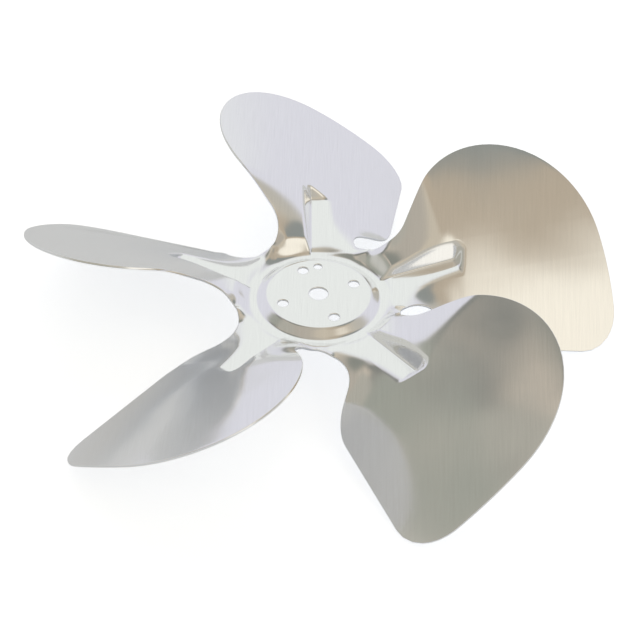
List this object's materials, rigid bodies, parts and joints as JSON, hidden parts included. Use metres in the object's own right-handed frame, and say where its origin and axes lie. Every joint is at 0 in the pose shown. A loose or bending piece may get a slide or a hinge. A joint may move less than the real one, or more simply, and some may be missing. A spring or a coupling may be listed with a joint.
{
  "type": "axial fan impeller",
  "caption": "Pressed sheet aluminium axial fan impeller with twisted, cambered blades, a raised hub disc, channelled arms, a centre hole and screw holes.",
  "frame": {"origin": "centre of the shaft hole at the hub's upper face", "axes": "+Z along the shaft axis, away from the motor; one arm lies along +Y, and its high edge is on the -X side"},
  "size_m": [0.2497, 0.2433, 0.0551],
  "materials": {
    "sheet": "satin rolled sheet with fine grain"
  },
  "bodies": {
    "root": {"impeller": "sheet"}
  },
  "joints": []
}
